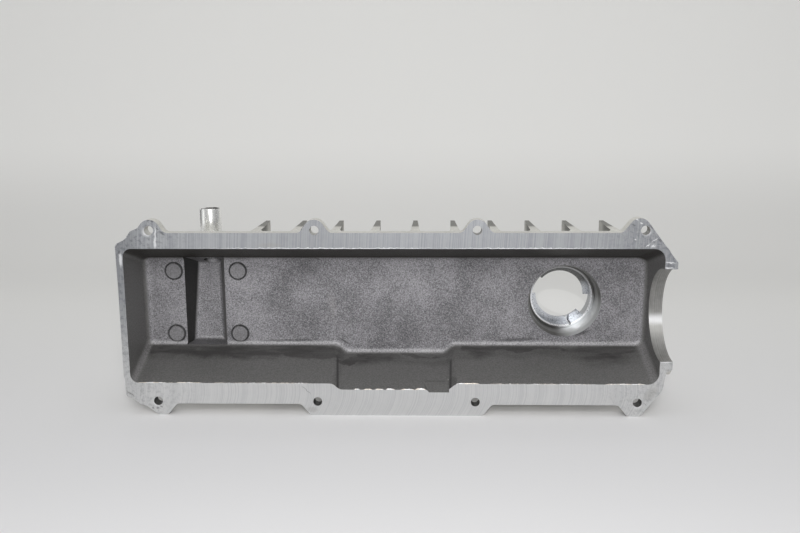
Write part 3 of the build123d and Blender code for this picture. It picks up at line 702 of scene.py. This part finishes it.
PAPER_GLOW = (1.0, 0.995, 0.98, 1)
paper = Finish("backdrop_paper")
light_path = paper.tree.nodes.new("ShaderNodeLightPath")
seen = paper.most(
    light_path.outputs["Is Camera Ray"], light_path.outputs["Is Glossy Ray"],
    light_path.outputs["Is Transmission Ray"],
)
pool_across = paper.math("DIVIDE", paper.minus(paper.x, POOL_X), POOL_HALF_W)
pool_along = paper.math("DIVIDE", paper.minus(paper.y, POOL_Y), POOL_HALF_L)
painted_light_pool = paper.times(
    paper.below(paper.z, FLOOR_Z + 0.001),
    paper.ramp(paper.radius(pool_across, pool_along), 1.0, 0.84, 0.0, 0.06),
)
glow = paper.plus(
    paper.ramp(paper.y, GLOW_START_Y, GLOW_FULL_Y, 0.025, 0.165),
    paper.ramp(paper.z, GLOW_START_Z, GLOW_FULL_Z, 0.01, 0.095), painted_light_pool,
)
paper.put(
    paper.shader.inputs["Base Color"], paper.mix(paper.ramp(paper.y, -0.1, 0.5), PAPER_NEAR, PAPER_FAR)
)
paper.put(paper.shader.inputs["Emission Strength"], paper.times(seen, glow))
paper.shader.inputs["Emission Color"].default_value = PAPER_GLOW
paper.shader.inputs["Roughness"].default_value = 0.9
sheet_mesh.materials.append(paper.material)

# Cards beside the table that only the bright metal shows: a white one at the left, and two dark ones
# that give the tube its upright dark lines.
CARD_HEIGHT = 0.6
CARD_GREY = (0.05, 0.05, 0.05, 1)
CARD_GLOW = (0.98, 1.0, 1.0, 1)
CARDS = (
    # name, x and y of its foot, width and strength of its glow
    ("white_card", -1.01, -0.20, 0.62, 0.95),
    ("right_card", 0.84, -0.16, 0.17, 0.0),
    ("left_card", -0.80, 0.56, 0.42, 0.06),
)
for card_name, card_x, card_y, card_w, card_strength in CARDS:
    across = Vector((TUBE_Y - card_y, card_x - TUBE_X, 0)).normalized() * card_w / 2
    foot = Vector((card_x, card_y, FLOOR_Z))
    rise = Vector((0, 0, CARD_HEIGHT))
    card_mesh = bpy.data.meshes.new(card_name)
    corners = [foot - across, foot + across, foot + across + rise, foot - across + rise]
    card_mesh.from_pydata(corners, [], [(0, 1, 2, 3)])
    card = bpy.data.objects.new(card_name, card_mesh)
    scene.collection.objects.link(card)
    card_paper = Finish(card_name)
    card_paper.shader.inputs["Base Color"].default_value = CARD_GREY
    card_paper.shader.inputs["Emission Color"].default_value = CARD_GLOW
    card_paper.shader.inputs["Emission Strength"].default_value = card_strength
    card_mesh.materials.append(card_paper.material)
    card.visible_camera = False
    card.visible_diffuse = False
    card.visible_shadow = False

# Lamps: a soft one far above the camera, a wide one overhead, and a small one just above the camera
# that also shines through the filler neck.
LAMPS = (
    # name, place, aim, width in metres and watts
    ("front_lamp", (0.06, -1.20, 0.85), (0, 0, 0), 0.5, 8.5),
    ("overhead_lamp", (0, -0.15, 1.6), (0, 0.1, 0), 1.8, 8.5),
    ("camera_lamp", (0.028, -0.66, 0.21), (0, 0, 0), 0.06, 1.5),
)
for lamp_name, lamp_place, lamp_aim, lamp_w, lamp_watts in LAMPS:
    lamp_data = bpy.data.lights.new(lamp_name, "AREA")
    lamp_data.size = lamp_w
    lamp_data.energy = lamp_watts
    lamp = bpy.data.objects.new(lamp_name, lamp_data)
    lamp.location = lamp_place
    lamp.rotation_euler = (Vector(lamp_aim) - Vector(lamp_place)).to_track_quat("-Z", "Y").to_euler()
    scene.collection.objects.link(lamp)

# Room: a faint even light, which the camera sees as a pale grey beyond the sheet
ROOM_COLOUR = (0.96, 0.98, 1.0, 1)
ROOM_LIGHT, ROOM_SEEN = 0.24, 0.62
world = bpy.data.worlds.new("room")
scene.world = world
world.use_nodes = True
room = world.node_tree.nodes["Background"]
room.inputs["Color"].default_value = ROOM_COLOUR
seen_by = world.node_tree.nodes.new("ShaderNodeLightPath")
room_level = world.node_tree.nodes.new("ShaderNodeMapRange")
room_level.inputs["To Min"].default_value = ROOM_LIGHT
room_level.inputs["To Max"].default_value = ROOM_SEEN
world.node_tree.links.new(seen_by.outputs["Is Camera Ray"], room_level.inputs["Value"])
world.node_tree.links.new(room_level.outputs[0], room.inputs["Strength"])
